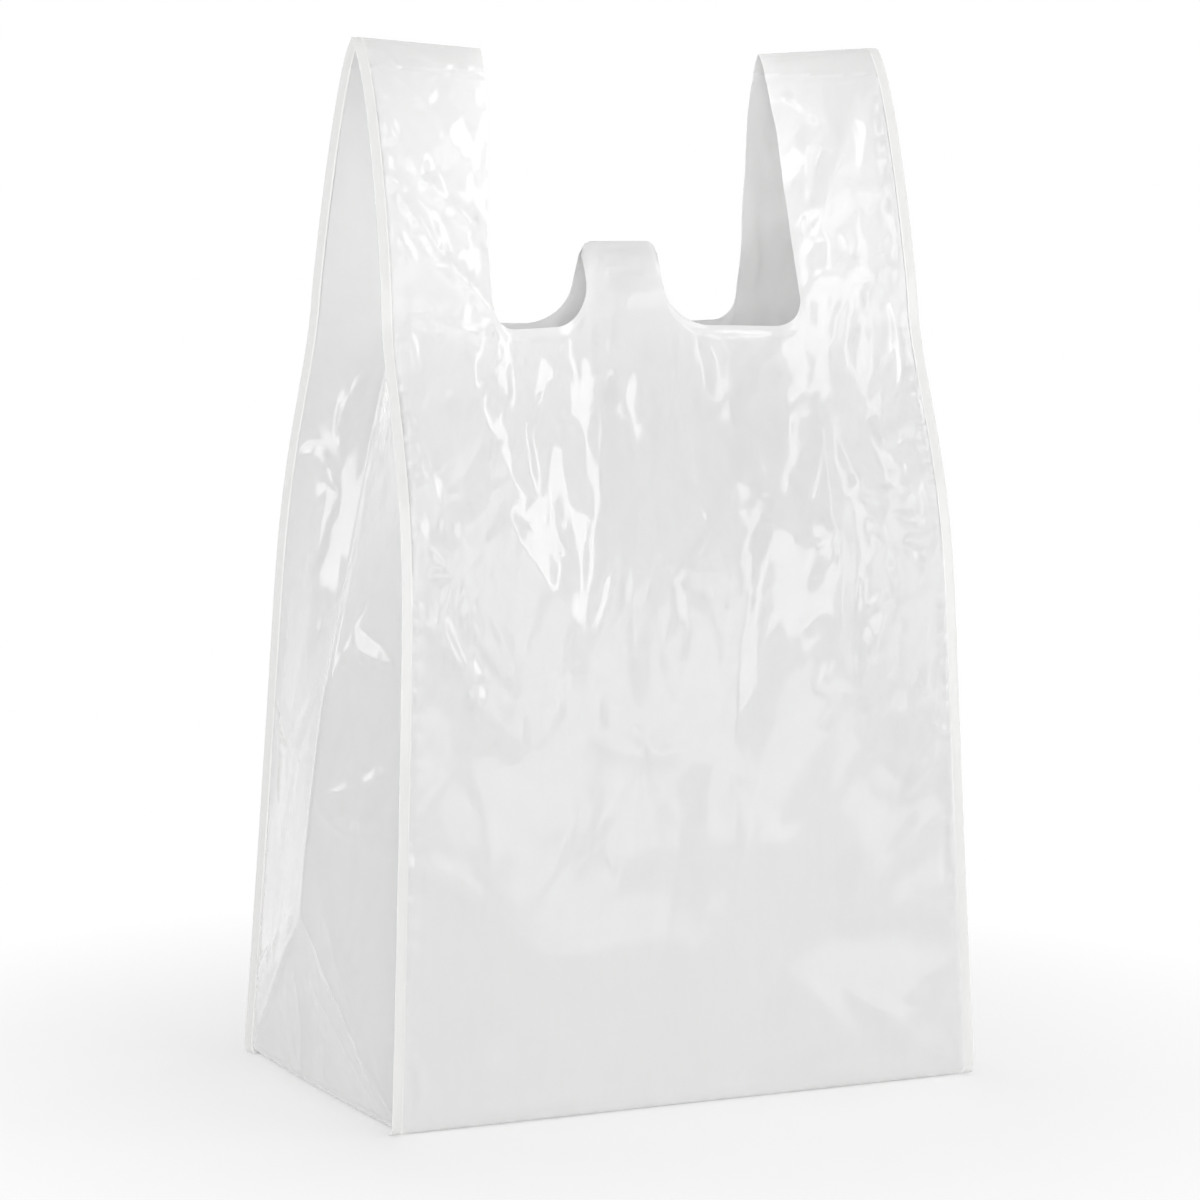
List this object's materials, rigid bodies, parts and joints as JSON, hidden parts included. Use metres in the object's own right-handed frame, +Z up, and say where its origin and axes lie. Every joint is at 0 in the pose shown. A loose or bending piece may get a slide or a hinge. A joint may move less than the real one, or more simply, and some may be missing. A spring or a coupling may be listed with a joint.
{
  "type": "plastic carrier bag",
  "caption": "White film carrier bag standing open on a squared base, with pleated gussets, looped vest handles and a welded tab between them.",
  "frame": {"origin": "centre of the squared base, on the surface that the bag stands on", "axes": "+Z up towards the handles, +Y from the front panel to the back panel, +X along the front panel"},
  "size_m": [0.322, 0.1805, 0.487],
  "materials": {
    "film": "glossy white blown film, slightly see-through"
  },
  "bodies": {
    "root": {"carrier_bag": "film"}
  },
  "joints": []
}
